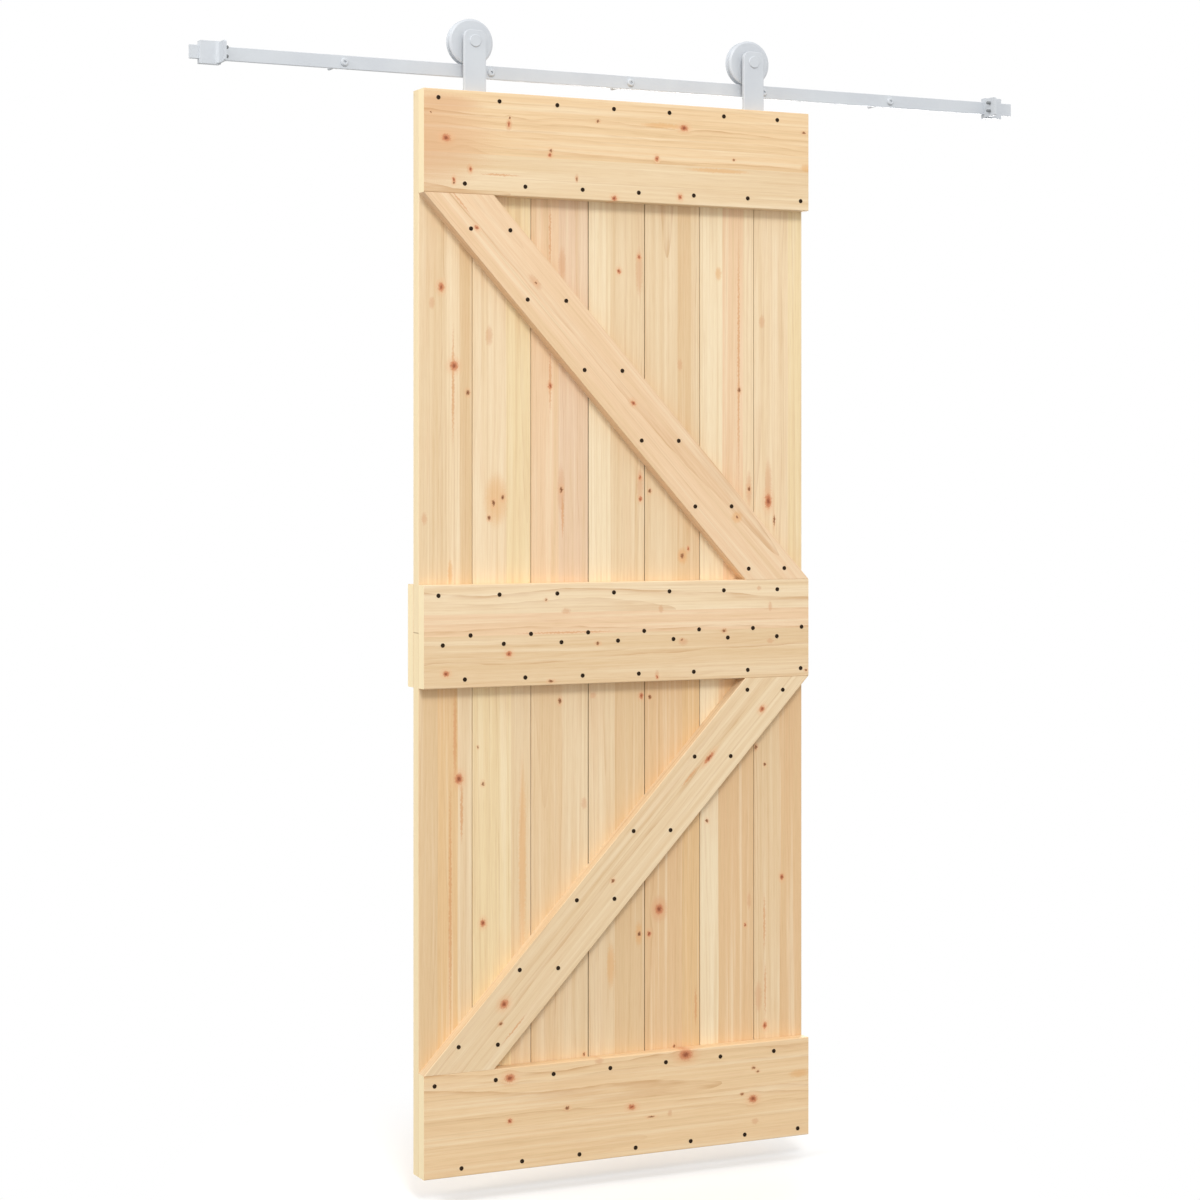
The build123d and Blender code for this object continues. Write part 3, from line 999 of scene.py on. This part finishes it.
def model_screw():
    """A screw head at the origin, facing the room, with the wood's surface at Y = 0."""
    reach = SCREW_RADIUS - SCREW_EDGE - CROSS_INSET / 2
    bpy.ops.object.select_all(action="DESELECT")
    bpy.ops.mesh.primitive_cylinder_add(
        vertices=SCREW_SIDES,
        radius=SCREW_RADIUS,
        depth=SCREW_PROUD + SCREW_SUNK,
        location=(0, (SCREW_SUNK - SCREW_PROUD) / 2, 0),
        rotation=(math.radians(90), 0, 0),
    )
    head = bpy.context.object
    bpy.ops.object.transform_apply(location=True, rotation=True)
    bpy.ops.object.mode_set(mode="EDIT")
    bpy.ops.mesh.select_mode(type="FACE")
    bpy.ops.mesh.select_all(action="SELECT")
    bpy.ops.transform.rotate(value=math.pi / SCREW_SIDES, orient_axis="Y", center_override=(0, 0, 0))
    select_faces(head.data, faces_room)
    bpy.ops.mesh.bevel(offset=SCREW_EDGE, segments=2, affect="EDGES")
    select_faces(head.data, faces_room)
    bpy.ops.mesh.inset(thickness=CROSS_INSET)
    bpy.ops.mesh.select_mode(type="VERT")
    edit = bmesh.from_edit_mesh(head.data)
    for corner in edit.verts:
        span = math.hypot(corner.co.x, corner.co.z)
        angle = math.degrees(math.atan2(corner.co.z, corner.co.x)) % 90
        in_ring = corner.co.y < -SCREW_PROUD * 0.98 and span < reach
        corner.select_set(in_ring and BETWEEN_ARMS[0] < angle < BETWEEN_ARMS[1])
    edit.select_flush(False)
    bmesh.update_edit_mesh(head.data)
    bpy.ops.transform.resize(value=(CROSS_WAIST, 1.0, CROSS_WAIST), center_override=(0, 0, 0))
    bpy.ops.mesh.select_mode(type="FACE")
    count = select_faces(
        head.data,
        lambda face: faces_room(face) and all(math.hypot(v.co.x, v.co.z) < reach for v in face.verts),
    )
    bpy.ops.mesh.extrude_region_move(TRANSFORM_OT_translate={"value": (0, CROSS_DEPTH, 0)})
    bpy.ops.transform.resize(value=(CROSS_TAPER, 1.0, CROSS_TAPER), center_override=(0, 0, 0))
    bpy.ops.object.mode_set(mode="OBJECT")
    print("screw head:", len(head.data.polygons), "faces,", count, "cross")
    return head


screw_master = model_screw()

# %% [markdown]
# ### Dark screw steel
#
# The screws are hardened and look almost black, with a trace of brown. A pure black would look like
# a hole, so noise mixes two dark browns, with little gloss.

# %% Finish the screws
SCREW_DARK = paint(36, 25, 14)
SCREW_BROWN = paint(56, 40, 24)
SCREW_ROUGHNESS = 0.55
SCREW_GLOSS = 0.15
SCREW_STAIN_SCALE = 700.0


def screw_steel():
    finish, start, shader = new_finish("dark_screw_steel")
    place = start.node("TexCoord", output="Object")
    stain = start.node(
        "TexNoise", None, {"Vector": place, "Scale": SCREW_STAIN_SCALE, "Detail": 3.0}, output="Fac"
    )
    stops = [(0.35, SCREW_DARK), (0.7, SCREW_BROWN)]
    feed(shader, "Base Color", start.node("ValToRGB", {"stops": stops}, {"Fac": stain}))
    feed(shader, "Roughness", SCREW_ROUGHNESS + stain * 0.2)
    shader.inputs["Specular IOR Level"].default_value = SCREW_GLOSS
    return finish


screw_finish = screw_steel()
screw_master.data.materials.append(screw_finish)
print("screws are", screw_finish.name)

# %% [markdown]
# ### Where the screws go
#
# Each row has one screw for each board. The first gap is a little wider than the others, because
# the outer board is narrower. Each brace has a pair of screws on every board that it crosses. All
# places are in millimetres from the door's lower left corner. The rows are worked out from their
# first screw, and only the braces' pairs are listed one by one, because they aren't quite even.

# %% Rows of screws
ROW_COUNT = 7
SMOOTH_BELOW = math.radians(35)
ROW_FIRST_GAP = 128
ROW_PITCH = 123.7
ROWS = {
    "top_rail": [(30, 2083, 0), (85, 1919.5, 0)],
    "middle_rail": [(30, 1123, 0), (97, 1045, 10), (39, 1027, 10), (85, 960, 0)],
    "bottom_rail": [(22, 179, 0), (78, 15, 0)],
}
BACK_ROWS = [(30, 1116, 0), (85, 970, 0)]
BRACE_PAIRS = {
    "upper_brace": (83, 0, [(98, 1833), (218, 1699), (341, 1563.5), (467, 1425), (587.5, 1293), (710, 1166)]),
    "lower_brace": (82.5, -2.7, [(707, 919.6), (586, 789), (449, 646.5), (324, 517), (201, 389), (72, 250)]),
}


def row_places(first_x, z, pulled_in):
    """A row of screws, the last of which may be pulled in from the door's edge."""
    places = [(first_x, z)]
    for number in range(ROW_COUNT - 1):
        places.append((first_x + ROW_FIRST_GAP + number * ROW_PITCH, z))
    places[-1] = (places[-1][0] - pulled_in, z)
    return places


def copy_at(master, spot, turns=()):
    """A copy of a piece with its own mesh, turned about the origin and then moved to a spot."""
    bpy.ops.object.select_all(action="DESELECT")
    master.select_set(True)
    bpy.context.view_layer.objects.active = master
    bpy.ops.object.duplicate(linked=False)
    for axis, angle in turns:
        bpy.ops.transform.rotate(value=angle, orient_axis=axis, center_override=(0, 0, 0))
    bpy.ops.transform.translate(value=spot)
    return bpy.context.object


def join_copies(copies, name, body):
    """Joins copies into one named piece, which rides on a body."""
    bpy.ops.object.select_all(action="DESELECT")
    for copy in copies:
        copy.select_set(True)
    bpy.context.view_layer.objects.active = copies[0]
    bpy.ops.object.join()
    piece = bpy.context.object
    piece.name = name
    bpy.ops.object.transform_apply(location=True, rotation=True, scale=True)
    bpy.ops.object.shade_smooth_by_angle(angle=SMOOTH_BELOW)
    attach(piece, body)
    return piece


def screws_on(node, places, from_behind=False):
    """Copies of the screw head at places given from the door's corner, joined into one piece."""
    low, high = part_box(node)
    surface = high.y if from_behind else low.y
    draw = random.Random(len(places) + int(places[0][1]))
    copies = []
    for x, z in places:
        turns = [("Y", draw.uniform(0, math.pi / 2))]
        if from_behind:
            turns.append(("Z", math.pi))
        spot = (door_corner.x + x * MM, surface, door_corner.z + z * MM)
        copies.append(copy_at(screw_master, spot, turns))
    return join_copies(copies, node + "_screws", "door")


screw_pieces = []
for node, rows in ROWS.items():
    places = [place for row in rows for place in row_places(*row)]
    screw_pieces.append(screws_on(node, places))
for node, (apart, drop, lefts) in BRACE_PAIRS.items():
    places = [place for x, z in lefts for place in ((x, z), (x + apart, z + drop))]
    screw_pieces.append(screws_on(node, places))
back_places = [place for row in BACK_ROWS for place in row_places(*row)]
screw_pieces.append(screws_on("back_rail", back_places, from_behind=True))
print("screw pieces:", [piece.name for piece in screw_pieces])

# %% [markdown]
# ### Screws in the hanger feet
#
# Two of the same screws go down through each hanger's foot into the door's top edge, between the
# strap and the foot's back edge. The head that was modelled for the front serves again: its copies
# are tipped about X, so that they face upwards. Then the pattern itself is put away.

# %% Screw down the hangers
FOOT_SCREWS_APART = 24 * MM
FOOT_SCREW_FROM_BACK = 11.5 * MM
FOOT_THICKNESS = 5 * MM
FOOT_SEED = 40

for number, side in enumerate(("left", "right")):
    low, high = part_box(side + "_hanger")
    draw = random.Random(FOOT_SEED + number)
    copies = []
    for offset in (-FOOT_SCREWS_APART / 2, FOOT_SCREWS_APART / 2):
        turns = [("Y", draw.uniform(0, math.pi / 2)), ("X", math.pi / 2)]
        spot = ((low.x + high.x) / 2 + offset, high.y - FOOT_SCREW_FROM_BACK, low.z + FOOT_THICKNESS)
        copies.append(copy_at(screw_master, spot, turns))
    piece = join_copies(copies, side + "_foot_screws", "door")
    top = max(corner.co.z for corner in piece.data.vertices)
    print(piece.name, "stand", round((top - low.z) / MM, 2), "mm above the door")
bpy.data.objects.remove(screw_master)

# %% [markdown]
# ## Threads of the wall bolts
#
# The end of each bolt that goes into the wall has a coarse wood thread. A thread is a ridge that
# climbs round the shank. It could be drawn in a bump, but then its outline would stay straight, so
# a small triangle is swept along a helix with the Screw modifier, and its two ends are closed.

# %% Model one thread and copy it to the bolts
THREAD_START = 5 * MM
THREAD_PITCH = 3.1 * MM
THREAD_TURNS = 12
THREAD_STEPS = 16
THREAD_FOOT = 3.3 * MM
THREAD_CREST = 4.1 * MM
TRIANGLE_HEIGHT = 1.5
BOLT_COUNT = 5


def model_thread():
    """A thread round the Y axis, from just behind the wall's face."""
    size = (THREAD_CREST - THREAD_FOOT) / TRIANGLE_HEIGHT
    bpy.ops.object.select_all(action="DESELECT")
    bpy.ops.mesh.primitive_circle_add(
        vertices=3,
        radius=size,
        fill_type="NOTHING",
        location=(THREAD_FOOT + size / 2, THREAD_START, 0),
        rotation=(0, 0, math.radians(-90)),
    )
    thread = bpy.context.object
    bpy.ops.object.transform_apply(location=True, rotation=True)
    bpy.ops.object.modifier_add(type="SCREW")
    sweep = thread.modifiers[0]
    sweep.axis = "Y"
    sweep.screw_offset = THREAD_PITCH
    sweep.iterations = THREAD_TURNS
    sweep.steps = THREAD_STEPS
    sweep.render_steps = THREAD_STEPS
    bpy.ops.object.modifier_apply(modifier=sweep.name)
    bpy.ops.object.mode_set(mode="EDIT")
    bpy.ops.mesh.select_all(action="SELECT")
    bpy.ops.mesh.remove_doubles(threshold=0.001 * MM)
    bpy.ops.mesh.fill_holes(sides=3)
    bpy.ops.mesh.normals_make_consistent(inside=False)
    edit = bmesh.from_edit_mesh(thread.data)
    open_edges = [edge for edge in edit.edges if not edge.is_manifold]
    print("thread:", len(edit.faces), "faces,", len(open_edges), "open edges")
    print("its volume is", round(edit.calc_volume() / MM**3, 2), "cubic mm")
    bpy.ops.object.mode_set(mode="OBJECT")
    return thread


thread_master = model_thread()
thread_master.data.materials.append(coat)
thread_copies = []
for number in range(1, BOLT_COUNT + 1):
    low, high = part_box(f"wall_bolt_{number}")
    middle = (low + high) / 2
    thread_copies.append(copy_at(thread_master, (middle.x, 0.0, middle.z)))
threads = join_copies(thread_copies, "wall_bolt_threads", "track")
bpy.data.objects.remove(thread_master)

# %% [markdown]
# ## Sizes
#
# The box round everything that is shown, the floor left out, is printed. The dressed door
# has to stay inside the box of its solids.

# %% Write the sizes
low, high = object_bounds()
print("visual box", [round(side, 4) for side in high - low])
